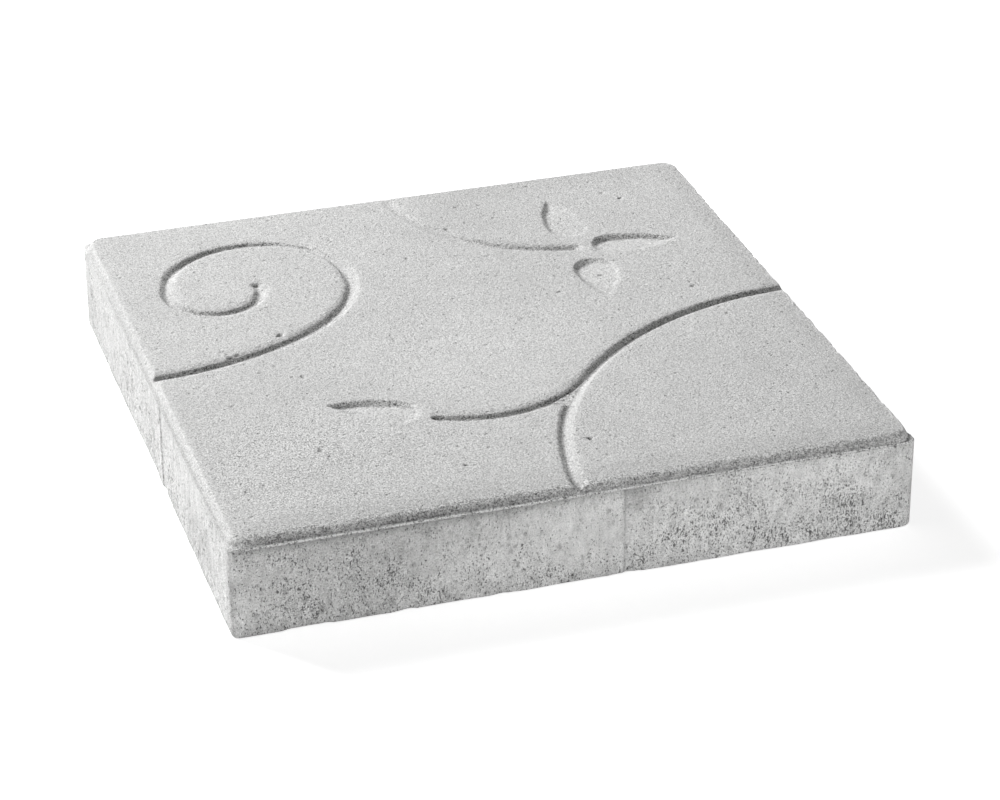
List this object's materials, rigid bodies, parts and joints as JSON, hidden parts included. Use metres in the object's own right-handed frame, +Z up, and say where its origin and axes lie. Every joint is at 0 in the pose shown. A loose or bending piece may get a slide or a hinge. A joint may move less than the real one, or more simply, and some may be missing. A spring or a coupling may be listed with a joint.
{
  "type": "concrete paving slab",
  "caption": "Square cast concrete paving slab with a bevelled top rim and a scroll ornament of V grooves and leaf recesses, laid flat as garden or path paving",
  "frame": {"origin": "middle of the underside, on the floor", "axes": "+Z up through the thickness, +X along the front edge to the right, +Y away from the front edge"},
  "size_m": [0.4, 0.4, 0.06],
  "materials": {
    "concrete": "rough cast concrete"
  },
  "bodies": {
    "root": {"paving_slab": "concrete"}
  },
  "joints": []
}
